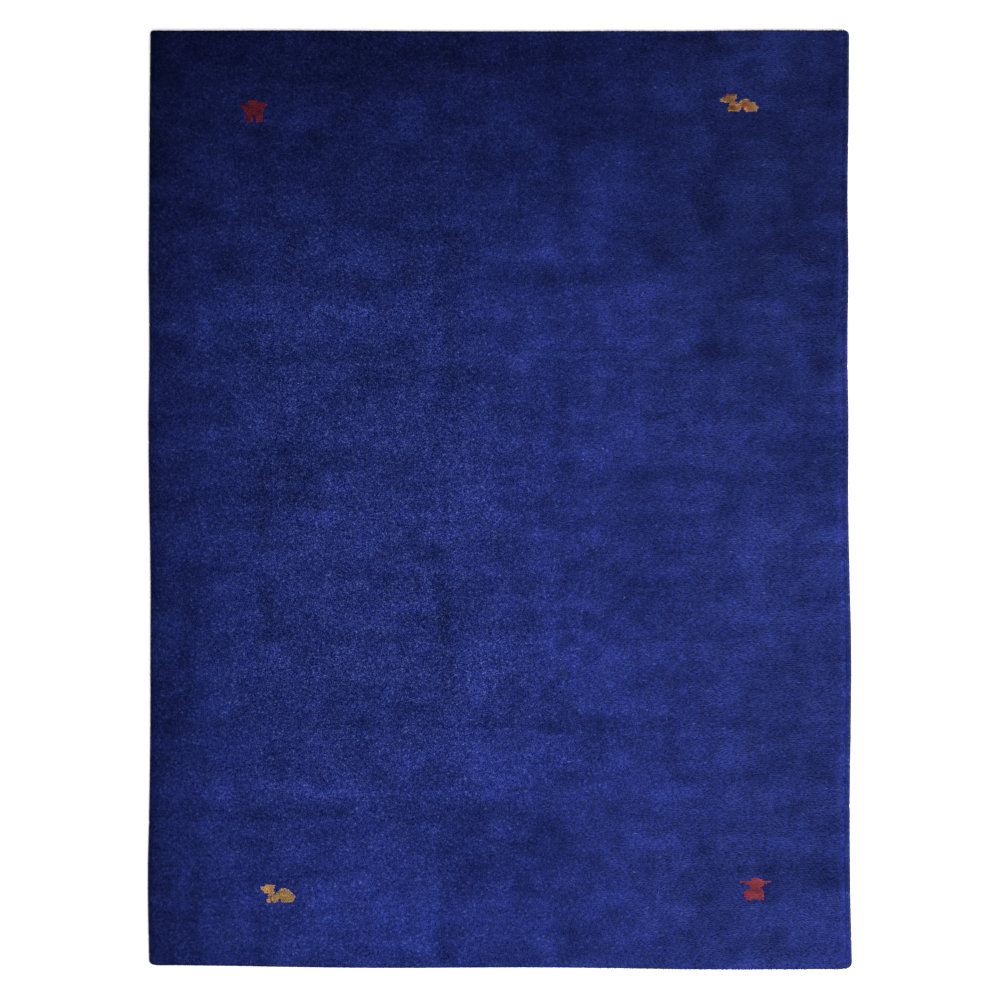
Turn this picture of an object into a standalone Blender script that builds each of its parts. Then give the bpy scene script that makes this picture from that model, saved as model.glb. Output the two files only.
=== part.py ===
"""Hand-knotted wool rug, lying flat: one pile field and two overcast side cords.

Metres, +Z up. The origin is on the floor under the middle of the rug. The long
sides run along Y, and the ends are at -Y and +Y. The ends are turned under, so
the pile reaches both of them and there is no fringe.
"""
import math
from typing import NamedTuple

import bmesh
import bpy
import numpy as np
from mathutils import Vector

# Overall sizes
RUG_WIDTH = 1.825               # mean width, side cords included
RUG_LENGTH = 2.441              # mean length, end to end
RUG_THICKNESS = 0.014           # woven foundation and pile together

# Pile field
PILE_RIM_RADIUS = 0.0065        # the pile splays and rounds over at its edges
BACK_RIM_RADIUS = 0.0012        # the turned edge of the woven back
PILE_RIM_STEPS = 4
CORNER_STEPS = 6                # straight stretches round one corner
SIDE_STEPS = 40                 # and along one long side
END_STEPS = 30                  # and along one end

# Side cords
LEFT_CORD_WIDTH = 0.0085
RIGHT_CORD_WIDTH = 0.0115
CORD_HEIGHT = 0.0085
CORD_WALL = 0.0030              # height at which the cord is widest
CORD_FOOT = 0.10                # share of the width that the flat foot is narrower by, each side
CORD_DOME_STEPS = 8
CORD_LAST_STEP = 4              # the cord goes this many of the steps round each corner
PIECE_GAP = 0.0003              # between the field and a side cord

WELD_DISTANCE = 0.000001        # joins a curve's loose caps to its walls
SHARP_ANGLE = math.radians(40)  # edges sharper than this keep a hard line

# Colours, linear, and roughness
PILE_BLUE = (0.0152, 0.0232, 0.133, 1.0)
CORD_BLUE = (0.0091, 0.0130, 0.062, 1.0)
WOOL_ROUGHNESS = 0.92


class SideStation(NamedTuple):
    """How far both long sides bow outwards at one place along the rug."""
    along: float
    left: float
    right: float


class EndStation(NamedTuple):
    """How far both ends bow outwards at one place across the rug."""
    across: float
    lower: float
    upper: float


SIDE_BOWS = (
    SideStation(along=-1.2, left=0.0008, right=0.0065),
    SideStation(along=-1.0, left=0.0042, right=0.0021),
    SideStation(along=-0.8, left=0.0004, right=0.0010),
    SideStation(along=-0.6, left=-0.0023, right=0.0034),
    SideStation(along=-0.4, left=-0.0025, right=0.0050),
    SideStation(along=-0.2, left=-0.0027, right=0.0005),
    SideStation(along=0.0, left=0.0005, right=-0.0031),
    SideStation(along=0.2, left=0.0023, right=-0.0026),
    SideStation(along=0.4, left=0.0001, right=-0.0050),
    SideStation(along=0.6, left=0.0017, right=-0.0026),
    SideStation(along=0.8, left=0.0005, right=-0.0050),
    SideStation(along=1.0, left=-0.0005, right=-0.0021),
    SideStation(along=1.2, left=-0.0026, right=-0.0010),
)

END_BOWS = (
    EndStation(across=-0.9, lower=-0.0070, upper=0.0010),
    EndStation(across=-0.7, lower=-0.0047, upper=0.0012),
    EndStation(across=-0.5, lower=-0.0013, upper=0.0013),
    EndStation(across=-0.3, lower=0.0005, upper=0.0000),
    EndStation(across=-0.1, lower=-0.0003, upper=-0.0008),
    EndStation(across=0.1, lower=-0.0008, upper=-0.0010),
    EndStation(across=0.3, lower=0.0010, upper=-0.0003),
    EndStation(across=0.5, lower=0.0042, upper=-0.0003),
    EndStation(across=0.7, lower=0.0042, upper=0.0016),
    EndStation(across=0.9, lower=0.0036, upper=0.0013),
)

LEFT, RIGHT = -1, 1
LOWER, UPPER = -1, 1
CORD_WIDTHS = {LEFT: LEFT_CORD_WIDTH, RIGHT: RIGHT_CORD_WIDTH}

# Radii of the pile field's own corners, each larger than the pile's rim radius
CORNER_RADII = {
    (LEFT, LOWER): 0.012,
    (RIGHT, LOWER): 0.016,
    (RIGHT, UPPER): 0.012,
    (LEFT, UPPER): 0.008,
}


def clear_scene():
    """Remove every object, so that the script can be run again."""
    for thing in list(bpy.data.objects):
        bpy.data.objects.remove(thing, do_unlink=True)


def make_collection(name):
    """A collection in the scene, new or emptied."""
    collection = bpy.data.collections.get(name) or bpy.data.collections.new(name)
    if collection.name not in bpy.context.scene.collection.children:
        bpy.context.scene.collection.children.link(collection)
    return collection


def wool(name, colour):
    """Dull dyed wool."""
    material = bpy.data.materials.new(name)
    material.use_nodes = True
    shader = material.node_tree.nodes["Principled BSDF"]
    shader.inputs["Base Color"].default_value = colour
    shader.inputs["Roughness"].default_value = WOOL_ROUGHNESS
    shader.inputs["Metallic"].default_value = 0.0
    material.diffuse_color = colour
    return material


def smooth_bow(stations, bows, place):
    """A smooth line through the bows: a cubic between each two stations."""
    slopes = np.gradient(bows, stations)
    row = int(np.clip(np.searchsorted(stations, place) - 1, 0, len(stations) - 2))
    span = stations[row + 1] - stations[row]
    part = float(np.clip((place - stations[row]) / span, 0.0, 1.0))
    rest = 1.0 - part
    value = bows[row] * rest * rest * (1.0 + 2.0 * part)
    value += bows[row + 1] * part * part * (1.0 + 2.0 * rest)
    value += span * part * rest * (slopes[row] * rest - slopes[row + 1] * part)
    return float(value)


def outer_side_x(side, along):
    """X of the rug's outermost line on one long side."""
    bows = [row.right if side == RIGHT else row.left for row in SIDE_BOWS]
    return side * (RUG_WIDTH / 2 + smooth_bow([row.along for row in SIDE_BOWS], bows, along))


def end_y(end, across):
    """Y of the rug's outermost line at one end."""
    bows = [row.upper if end == UPPER else row.lower for row in END_BOWS]
    return end * (RUG_LENGTH / 2 + smooth_bow([row.across for row in END_BOWS], bows, across))


def field_side_x(side, along):
    """X of the pile field's own side, inside the side cord."""
    return outer_side_x(side, along) - side * (CORD_WIDTHS[side] + PIECE_GAP)


def corner(side, end):
    """The sharp corner where a side of the pile field would meet an end."""
    x = field_side_x(side, end * RUG_LENGTH / 2)
    return x, end_y(end, x)


def corner_arc(side, end, reach=0.0):
    """The rounded corner as (x, y, turn), from facing the side to facing the end."""
    x, y = corner(side, end)
    radius = CORNER_RADII[side, end]
    arc = []
    for turn in np.linspace(0.0, math.pi / 2, CORNER_STEPS + 1):
        arc.append((x + side * ((radius + reach) * math.cos(turn) - radius),
                    y + end * ((radius + reach) * math.sin(turn) - radius),
                    turn))
    return arc


def side_line(side, reach=0.0):
    """The pile field's side between the corners as (x, y, turn), from lower to upper."""
    low = corner(side, LOWER)[1] + CORNER_RADII[side, LOWER]
    high = corner(side, UPPER)[1] - CORNER_RADII[side, UPPER]
    return [(field_side_x(side, along) + side * reach, along, 0.0)
            for along in np.linspace(low, high, SIDE_STEPS + 1)[1:-1]]


def end_line(end):
    """The pile field's end between the corners as (x, y, turn), from left to right."""
    low = corner(LEFT, end)[0] + CORNER_RADII[LEFT, end]
    high = corner(RIGHT, end)[0] - CORNER_RADII[RIGHT, end]
    return [(across, end_y(end, across), math.pi / 2)
            for across in np.linspace(low, high, END_STEPS + 1)[1:-1]]


def field_outline():
    """The pile field's closed outline, anticlockwise from its lower right corner."""
    outline = corner_arc(RIGHT, LOWER)[::-1] + side_line(RIGHT)
    outline += corner_arc(RIGHT, UPPER) + end_line(UPPER)[::-1]
    outline += corner_arc(LEFT, UPPER)[::-1] + side_line(LEFT)[::-1]
    outline += corner_arc(LEFT, LOWER) + end_line(LOWER)
    return outline


def cord_run(side):
    """A side cord's inner line, which starts and ends part of the way round two corners."""
    first_end, last_end = (LOWER, UPPER) if side == RIGHT else (UPPER, LOWER)
    straight = side_line(side, PIECE_GAP) if side == RIGHT else side_line(side, PIECE_GAP)[::-1]
    run = corner_arc(side, first_end, PIECE_GAP)[:CORD_LAST_STEP + 1][::-1]
    run += straight
    run += corner_arc(side, last_end, PIECE_GAP)[:CORD_LAST_STEP + 1]
    return run


def poly_curve(name, points, closed, collection):
    """A curve object of straight stretches through the points."""
    data = bpy.data.curves.new(name, "CURVE")
    spline = data.splines.new("POLY")
    spline.points.add(len(points) - 1)
    for spline_point, point in zip(spline.points, points):
        spline_point.co = (point[0], point[1], 0.0, 1.0)
    spline.use_cyclic_u = closed
    thing = bpy.data.objects.new(name, data)
    collection.objects.link(thing)
    return thing


def edit_mesh(mesh, edit):
    """Run one edit on the mesh in a bmesh, and leave its faces pointing out."""
    body = bmesh.new()
    body.from_mesh(mesh)
    edit(body)
    bmesh.ops.recalc_face_normals(body, faces=body.faces)
    body.to_mesh(mesh)
    body.free()


def weld_caps(body):
    """Join a curve's loose caps to its walls."""
    bmesh.ops.remove_doubles(body, verts=body.verts, dist=WELD_DISTANCE)


def join_level_faces(body):
    """Make the sheet's upper and lower side one face each."""
    level = [edge for edge in body.edges
             if len(edge.link_faces) == 2 and all(abs(face.normal.z) > 0.9 for face in edge.link_faces)]
    bmesh.ops.dissolve_edges(body, edges=level, use_verts=False)


def curve_to_mesh(curve_object, collection):
    """Swap a curve object for a welded mesh object of the same name."""
    name = curve_object.name
    bpy.context.view_layer.update()
    evaluated = curve_object.evaluated_get(bpy.context.evaluated_depsgraph_get())
    mesh = bpy.data.meshes.new_from_object(evaluated)
    place = curve_object.matrix_world.copy()
    bpy.data.objects.remove(curve_object, do_unlink=True)
    mesh.name = name
    edit_mesh(mesh, weld_caps)
    thing = bpy.data.objects.new(name, mesh)
    thing.matrix_world = place
    collection.objects.link(thing)
    return thing


def finish_surface(thing, material):
    """Smooth shading with hard lines at the sharp edges, and the piece's material."""
    thing.data.shade_smooth()
    thing.data.set_sharp_from_angle(angle=SHARP_ANGLE)
    thing.data.materials.append(material)


def weigh_rims(mesh):
    """Bevel weights: the full pile radius on the upper rim, the small one on the lower."""
    weights = mesh.attributes.new("bevel_weight_edge", "FLOAT", "EDGE")
    for edge in mesh.edges:
        heights = [mesh.vertices[index].co.z for index in edge.vertices]
        if min(heights) > 0.0:
            weights.data[edge.index].value = 1.0
        elif max(heights) < 0.0:
            weights.data[edge.index].value = BACK_RIM_RADIUS / PILE_RIM_RADIUS


def build_pile_field(collection):
    """The knotted field: a flat sheet with the uneven outline and rounded pile rims."""
    sheet = poly_curve("pile_field", field_outline(), True, collection)
    sheet.data.dimensions = "2D"
    sheet.data.fill_mode = "BOTH"
    sheet.data.extrude = RUG_THICKNESS / 2
    sheet.location.z = RUG_THICKNESS / 2
    field = curve_to_mesh(sheet, collection)
    edit_mesh(field.data, join_level_faces)
    weigh_rims(field.data)
    rim = field.modifiers.new("pile_rim", "BEVEL")
    rim.limit_method = "WEIGHT"
    rim.width = PILE_RIM_RADIUS
    rim.segments = PILE_RIM_STEPS
    rim.use_clamp_overlap = False
    finish_surface(field, wool("pile_wool", PILE_BLUE))
    return field


def cord_section(width):
    """Section of a side cord: a flat foot, low walls and a dome, from its inner side outwards."""
    points = [(width * (1.0 - CORD_FOOT), 0.0)]
    for angle in np.linspace(0.0, math.pi, CORD_DOME_STEPS + 1):
        across = width / 2 * (1.0 + math.cos(angle))
        up = CORD_WALL + (CORD_HEIGHT - CORD_WALL) * math.sin(angle)
        points.append((across, up))
    points.append((width * CORD_FOOT, 0.0))
    return points


def build_side_cord(name, side, material, collection, guides):
    """One overcast side cord, swept along the pile field's side with a gap to it."""
    section = poly_curve(name + "_section", cord_section(CORD_WIDTHS[side]), True, guides)
    section.data.dimensions = "2D"
    section.hide_render = True
    section.display_type = "WIRE"

    run = cord_run(side)
    sweep = poly_curve(name, run, False, collection)
    sweep.data.dimensions = "3D"
    sweep.data.twist_mode = "Z_UP"
    sweep.data.bevel_mode = "OBJECT"
    sweep.data.bevel_object = section
    sweep.data.use_fill_caps = True
    for spline_point, (x, y, turn) in zip(sweep.data.splines[0].points, run):
        spline_point.radius = math.cos(turn) ** 2

    cord = curve_to_mesh(sweep, collection)
    finish_surface(cord, material)
    return cord


def centre_on_origin(things):
    """Move the pieces together, so that the middle of their box is over the origin."""
    bpy.context.view_layer.update()
    corners = [thing.matrix_world @ Vector(corner) for thing in things for corner in thing.bound_box]
    for axis in (0, 1):
        places = [corner[axis] for corner in corners]
        for thing in things:
            thing.location[axis] -= (min(places) + max(places)) / 2


def main():
    clear_scene()
    rug = make_collection("hand_knotted_rug")
    guides = make_collection("guides")
    overcasting = wool("overcast_wool", CORD_BLUE)
    pieces = [
        build_pile_field(rug),
        build_side_cord("selvedge_left", LEFT, overcasting, rug, guides),
        build_side_cord("selvedge_right", RIGHT, overcasting, rug, guides),
    ]
    centre_on_origin(pieces)
    bpy.context.view_layer.update()


main()
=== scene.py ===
"""Looks of a hand-knotted wool rug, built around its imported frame.

Metres, +Z up, +Y towards the photo's top edge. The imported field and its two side
cords are replaced by a knotted ground, cut pile tufts, motif knots and overcast
cords, which all lie where those solids lie.
"""
import math

import bpy
import numpy as np
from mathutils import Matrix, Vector


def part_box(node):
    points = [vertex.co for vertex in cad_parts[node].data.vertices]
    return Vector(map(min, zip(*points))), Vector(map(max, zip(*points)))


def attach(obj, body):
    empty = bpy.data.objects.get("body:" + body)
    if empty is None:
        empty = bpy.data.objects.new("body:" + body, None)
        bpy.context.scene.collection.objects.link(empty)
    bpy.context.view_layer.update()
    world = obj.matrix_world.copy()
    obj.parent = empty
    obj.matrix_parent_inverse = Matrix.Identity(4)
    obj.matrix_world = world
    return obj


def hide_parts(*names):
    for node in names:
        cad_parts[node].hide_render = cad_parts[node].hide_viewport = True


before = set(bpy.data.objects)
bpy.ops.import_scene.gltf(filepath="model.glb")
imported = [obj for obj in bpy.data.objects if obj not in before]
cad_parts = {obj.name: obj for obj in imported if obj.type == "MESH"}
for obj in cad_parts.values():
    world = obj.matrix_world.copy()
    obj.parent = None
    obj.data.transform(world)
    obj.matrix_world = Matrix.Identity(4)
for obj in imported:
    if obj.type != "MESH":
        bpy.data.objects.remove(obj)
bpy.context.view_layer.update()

# The field's form, as in the solids
FIELD_LOW, FIELD_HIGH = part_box("pile_field")
PILE_TOP = FIELD_HIGH.z
PILE_RIM_RADIUS = 0.0065  # the pile rounds over at its edges
CORNER_ZONE = 0.017  # every corner's arc lies within this of the box's corner
CORNER_RADII = {(-1, -1): 0.012, (1, -1): 0.016, (1, 1): 0.012, (-1, 1): 0.008}
# Its size to a few millimetres, for patterns and grids
ROUGH_WIDTH, ROUGH_LENGTH = FIELD_HIGH.x * 2, FIELD_HIGH.y * 2
# Its edges as rim_places counts them: near end, left side, far end, right side
ENDS, SIDES = (0, 2), (1, 3)

# Knotted ground, the closed cloth that the pile stands in
GROUND_TOP = 0.01  # the crowded feet of the pile reach up to here
GROUND_WALL = 0.0025  # height of the ground's outermost line
GROUND_RIM = 0.006  # it rounds over within this of its edge
GROUND_CELL = 0.0135  # size of its mesh cells away from the edge
GROUND_LUMP = 0.0007  # height of its soft lumps
BACK_LIFT = 0.0004  # the back's outermost line is about this far off the floor
BACK_LIFT_REACH = 0.012  # and this far in it lies flat
RIM_PLACES = (0.0, 0.0006, 0.0016, 0.0032, 0.0056, 0.009)  # finer cells near the edge

# Cut pile
STRIPS = ("pile_far_left", "pile_near_left", "pile_near_right", "pile_far_right")
TUFT_PITCH = 0.00508
TUFT_WIDTH = 0.0051
TUFT_DEPTH = 0.0026  # a tuft's foot is this far down in the ground
LEAST_TUFT = 0.0022  # and its tip at least this far over its foot
TUFT_STRAY = 0.32  # tufts stray up to this share of the pitch
SHEAR_HEIGHT = 0.0131  # where the shears left most tips
COMBED_SINK = 0.0008  # combed tips lie this much lower
CLUSTER = 0.0095  # tufts cling together in groups this wide
COMBED_STROKE = 1.4  # length that combed tufts gain, in tuft widths
HALF_COMBED_PAINTED_LIGHT = 0.21  # doublings of painted light that brighten half-combed pile
PALE_TUFT = 0.82  # shade of the few pale tufts

# Pile near the edges
SPLAY_LEAN = 0.45  # outward lean of the outermost tufts at the ends
CORD_SPLAY_LEAN = 0.6  # what those beside a side cord lean more
SPLAY_REACH = 0.012  # tufts this near an edge lean outwards
SPLAY_REACH_RIGHT = 0.005  # on the right only the last ones do, against the combing
END_SETBACK = 0.0028  # tips at the ends stay this far inside the outline
CORD_COVER = 0.42  # share of a side cord that the pile hangs over
SIDE_RAISE = 0.0024  # the pile's rim is this much higher where it hangs over a cord
RIM_PITCH = 0.003
RIM_TUFT_WIDTH = 0.0023
HANGING_FOOT = 0.0066  # height of the feet of the tufts that hang over the cords
HANGING_INSETS = (0.0016, 0.0042)
# Rows that droop over the ends: height of the feet, of the lowest tips, distance inside the outline
DROOPING_ROWS = ((0.0086, 0.0044, 0.0026), (0.0062, 0.0024, 0.0014), (0.0036, 0.0004, 0.001))

# Pile round the motifs
MOTIF_CLEARANCE = 0.009  # tufts this near a motif aren't drawn out over it
CARVE_REACH = 0.0038  # the shears cut the blue this far round a motif
CARVE_DEPTH = 0.0022
CARVE_PAINTED_SHADE = 0.45  # share of its tone that the cut blue keeps, a painted shade in the carved groove

# Uneven dyeing together with painted shade and sheen. Fold lines, painted shade of creases, in
# hundredths: share across or along, half width, doublings darker.
FOLD_SHADE_ALONG = ((5.5, 2.2, 18), (15.5, 1.8, 24), (42, 2, 22), (58.5, 1.8, 26), (80, 2, 20))
FOLD_SHADE_ACROSS = ((89, 2.2, 20), (80.6, 1.8, 20), (73.7, 2.2, 22), (65.6, 2, 22), (53.5, 2.6, 24),
                (35.5, 2, 14), (25.8, 1.8, 20), (16.5, 1.8, 10))
# Noise over the whole rug: doublings, size or width and length, seed
BLOTCHES = ((0.16, 0.11, 51), (0.26, (0.06, 0.045), 52), (0.17, (0.032, 0.024), 53))
BANDS = ((0.11, (0.7, 0.045), 56), (0.14, (0.22, 0.013), 57), (0.1, (0.12, 0.0075), 59),
         (0.08, (0.013, 0.2), 58))
# Clouds of uneven dye together with painted sheen and shade, in hundredths: share across, share along,
# half width, half length, doublings darker
CLOUDS = (
    (50, 62, 13, 7, 26), (58, 57, 3, 13, 16), (17, 64.5, 15, 7, 22), (16, 55, 14, 6, 16),
    (33, 64, 9, 6, 26), (41, 38, 9, 5, 38), (42, 44, 7, 3, 26), (42, 31, 13, 8, 20),
    (75, 31.7, 8, 4.5, 26), (90, 32.2, 6, 4.5, 26), (48, 14, 19, 9, 28), (80, 80.5, 5, 10, 44),
    (71, 77.5, 10, 4, 36), (89, 77, 14, 4, 32), (82, 66.5, 5, 4, 26), (78, 99, 10, 3, 50),
    (98, 93.5, 4, 6, 50), (64, 85, 9, 9, -42), (53, 84.5, 4, 4, -22), (69, 71, 24, 8, -14),
    (46, 48.4, 10, 6, -24), (85, 45, 13, 13, -14), (50, 20.5, 14, 7, -7), (95, 64, 12, 28, 28),
    (30, 97, 60, 6, 24), (96, 14, 12, 18, 34), (36, 70, 9, 40, 14), (85, 72, 9, 9, 16),
    (5, 10, 10, 30, -18), (25, 15, 9, 35, -14), (65, 80, 9, 7, -26), (59, 29.5, 15, 5, -18),
    (83, 30, 5, 6, -26), (23, 6.5, 22, 6, -24), (69, 6.5, 14, 6, -20), (9, 20.5, 10, 6, -16),
    (87, 97.5, 13, 5, -36), (64, 96.5, 7, 4, -26), (6, 62, 10, 10, 20), (25, 82, 5, 4, -32),
    (55, 78, 6, 6, -18), (36, 54, 6, 4, 38), (55, 36, 15, 10, -14), (38, 6, 16, 9, -16),
    (5, 32.5, 6, 5, 14), (36, 88, 5, 3.5, 20), (55, 5, 7, 5, -28), (55, 25, 6, 4, -24),
    (5, 45, 6, 8, -26), (85, 36, 7, 9, -14), (65, 75, 5, 45, -12), (25, 8, 6, 6, -14),
    (16, 18, 5, 4, -18), (95, 60, 7, 5, 16), (36, 10, 5, 4, 16),
)

# Side cords
CORD_HEIGHT = 0.0085
CORD_WALL = 0.003  # height of a cord's straight sides
CORD_GAP = 0.0003
CORD_WIDTHS = {-1: 0.0085, 1: 0.0115}
CORD_TURN = 62  # degrees round each corner that a cord follows
CORD_ARC_POINTS = 7
CORD_NOTCHES = 9  # worn places along each cord
WRAP_PITCH = 0.0025
WRAP_SLANT = 0.0016  # how far a turn of yarn leans along the cord
RINGS_PER_WRAP = 3
CORD_MAP_ROWS = 16

# Marks in standing and in combed wool: how many a metre, drawn out along x, y and z, detail, strength
MARKS = {"yarn_flecks": ((440.0, (1, 1, 1), 0.0, 1.0), (330.0, (6.5, 1, 1), 0.0, 0.5)),
         "wool_fibre": ((1500.0, (1, 1, 5), 1.0, 1.0), (1500.0, (5, 1, 3), 1.0, 1.0))}
CROWDED_FEET = (130.0, (1, 1, 1), 1.0, 0.25)
FIBRE_RELIEF = 0.0003
BACK_KNOT = 0.0042  # pitch of the knots on the back
BACK_RELIEF = 0.0012

# Studio
FLOOR_SIZE = 30.0
FLOOR_DEPTH = 0.0002  # the floor is this far under the rug
FLOOR_GREY = 0.76
SURROUND = 0.75  # strength of the white surround
# Lamps: place, width, power
LAMPS = {"overhead": ((0.8, -0.8, 3.6), 3.5, 190.0), "right_side": ((3.2, -1.6, 1.9), 2.2, 70.0)}

# Camera: straight above, with a long lens
PHOTO_WIDTH = 2.603  # metres across the photo's 1000 pixels, at the pile's top
PHOTO_CENTRE = (0.0003, -0.0006)
LENS = 100.0
SENSOR = 36.0


def ease(value, low, high):
    """0 below low, 1 above high, smooth between."""
    part = np.clip((value - low) / (high - low), 0.0, 1.0)
    return part * part * (3 - 2 * part)


def soft_noise(x, y, size, seed):
    """Smooth noise of about -1 to 1, with bumps as wide as size (or a pair of sizes)."""
    lattice = np.random.default_rng(seed).normal(0.0, 0.6, (512, 512))
    wide, long = size if isinstance(size, tuple) else (size, size)
    across, along = np.asarray(x) / wide + 256.0, np.asarray(y) / long + 256.0
    column, row = np.floor(across).astype(int), np.floor(along).astype(int)
    part, share = ease(across - column, 0, 1), ease(along - row, 0, 1)
    value = 0.0
    for right in (0, 1):
        for up in (0, 1):
            weight = (part if right else 1 - part) * (share if up else 1 - share)
            value = value + weight * lattice[(row + up) % 512, (column + right) % 512]
    return value


def read_outline():
    """The field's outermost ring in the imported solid, in order round the rug."""
    points = np.array([vertex.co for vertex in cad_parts["pile_field"].data.vertices])
    ring_height = PILE_TOP - PILE_RIM_RADIUS
    ring = points[abs(points[:, 2] - ring_height) < 0.0002][:, :2]
    ring = np.unique(ring.round(6), axis=0)
    return ring[np.argsort(np.arctan2(ring[:, 1], ring[:, 0]))]


class Field:
    """Places on the pile field, from its outline."""

    def __init__(self, outline):
        self.outline = outline
        straight = abs(outline[:, 1]) < FIELD_HIGH.y - CORNER_ZONE
        level = abs(outline[:, 0]) < FIELD_HIGH.x - CORNER_ZONE
        self.sides = {side: self.line(straight & (outline[:, 0] * side > 0), 1) for side in (-1, 1)}
        self.ends = {end: self.line(level & (outline[:, 1] * end > 0), 0) for end in (-1, 1)}

    def line(self, chosen, axis):
        """The chosen points of the outline, in order along an axis."""
        points = self.outline[chosen]
        return points[np.argsort(points[:, axis])]

    def side_x(self, side, y):
        line = self.sides[side]
        return np.interp(y, line[:, 1], line[:, 0])

    def end_y(self, end, x):
        line = self.ends[end]
        return np.interp(x, line[:, 0], line[:, 1])

    def place(self, across, along):
        """For shares 0 to 1 across and along: x, y, distance to the rim, outward direction."""
        x = FIELD_LOW.x + across * (FIELD_HIGH.x - FIELD_LOW.x)
        for _ in range(2):  # the sides' lines depend on y, and the ends' on x
            y = (1 - along) * self.end_y(-1, x) + along * self.end_y(1, x)
            x = (1 - across) * self.side_x(-1, y) + across * self.side_x(1, y)
        width = self.side_x(1, y) - self.side_x(-1, y)
        length = self.end_y(1, x) - self.end_y(-1, x)
        side = np.where(across < 0.5, -1, 1)
        end = np.where(along < 0.5, -1, 1)
        off_side = width * np.minimum(across, 1 - across)
        off_end = length * np.minimum(along, 1 - along)
        rim = np.minimum(off_side, off_end)
        # Places in a corner's square are drawn in to its arc
        for (this_side, this_end), radius in CORNER_RADII.items():
            inside = (side == this_side) & (end == this_end) & (off_side < radius) & (off_end < radius)
            to_side, to_end = radius - off_side, radius - off_end
            reach = np.hypot(to_side, to_end) + 1e-9
            pull = np.maximum(to_side, to_end) / reach
            x = np.where(inside, x - side * to_side * (1 - pull), x)
            y = np.where(inside, y - end * to_end * (1 - pull), y)
        out_x = side * np.maximum(SPLAY_REACH - off_side, 0.0)
        out_y = end * np.maximum(SPLAY_REACH - off_end, 0.0)
        size = np.hypot(out_x, out_y) + 1e-9
        return x, y, rim, out_x / size, out_y / size


FIELD = Field(read_outline())


def ground_height(x, y, rim):
    """Height of the ground's upper side."""
    part = np.clip(rim / GROUND_RIM, 0.0, 1.0)
    round_over = np.sqrt(np.maximum(1 - (1 - part) ** 2, 0.0))
    lumps = GROUND_LUMP * (soft_noise(x, y, 0.03, 11) + 0.7 * soft_noise(x, y, 0.014, 12))
    return GROUND_WALL + (GROUND_TOP - GROUND_WALL + lumps) * round_over


def mesh_piece(name, points, faces, materials, indices=None):
    """A smooth mesh object from points and faces, which may be an array or a list of unlike ones."""
    mesh = bpy.data.meshes.new(name)
    face_list = faces.tolist() if isinstance(faces, np.ndarray) else faces
    mesh.from_pydata(np.asarray(points, float).tolist(), [], face_list)
    for material in materials:
        mesh.materials.append(material)
    if indices is not None:
        mesh.polygons.foreach_set("material_index", np.asarray(indices, np.int32))
    mesh.polygons.foreach_set("use_smooth", np.full(len(mesh.polygons), True))
    mesh.update()
    piece = bpy.data.objects.new(name, mesh)
    bpy.context.scene.collection.objects.link(piece)
    return piece


def give_values(piece, name, values):
    """A number on each point of a piece, which its material reads by name."""
    attribute = piece.data.attributes.new(name, "FLOAT", "POINT")
    attribute.data.foreach_set("value", np.asarray(values, np.float32).ravel())


def give_map(piece, corners):
    """The piece's flat map, one place for each face corner."""
    layer = piece.data.uv_layers.new(name="OFBake")
    layer.uv.foreach_set("vector", np.asarray(corners, np.float32).ravel())


def corner_points(*corners):
    """One array of the corners of many tufts or faces, from each corner's coordinates."""
    return np.stack([np.stack(corner, 1) for corner in corners], 1)


# Dyeing and painted shade


def soft_least(first, second, blur):
    """The lesser of two values, with a soft change from one to the other."""
    return -blur * np.logaddexp(-first / blur, -second / blur)


def fold_shade_marks(place, run, wide, fold_shade, seed):
    """Soft dark lines over the rug, painted shade along fold lines, each stronger and weaker along its
    run.
    """
    dark = 0.0
    for number, (share, half, depth) in enumerate(np.array(fold_shade) / 100):
        wander = (0.02 * soft_noise(run, run * 0, 0.18, seed + number)
                  + 0.011 * soft_noise(run, run * 0, 0.05, seed + 10 + number))
        presence = np.clip(0.75 + 1.3 * soft_noise(run, run * 0, 0.17, seed + 20 + number), 0.0, 2.2)
        dark = dark + 1.1 * depth * presence * np.exp(-(((place - share) * wide + wander) / half) ** 2)
    return dark


def cloud_dye_and_sheen(across, along, wide, tall):
    """Soft darker and lighter clouds with ragged edges: uneven dye together with painted sheen and
    shade.
    """
    ragged_x = 0.035 * soft_noise(across * wide, along * tall, 0.06, 54)
    ragged_y = 0.03 * soft_noise(across * wide, along * tall, 0.05, 55)
    dark = 0.0
    for share_across, share_along, half_width, half_length, depth in np.array(CLOUDS) / 100:
        off_x = ((across - share_across) * wide + ragged_x) / half_width
        off_y = ((along - share_along) * tall + ragged_y) / half_length
        dark = dark + depth * np.exp(-(off_x ** 2 + off_y ** 2))
    return dark


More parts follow.
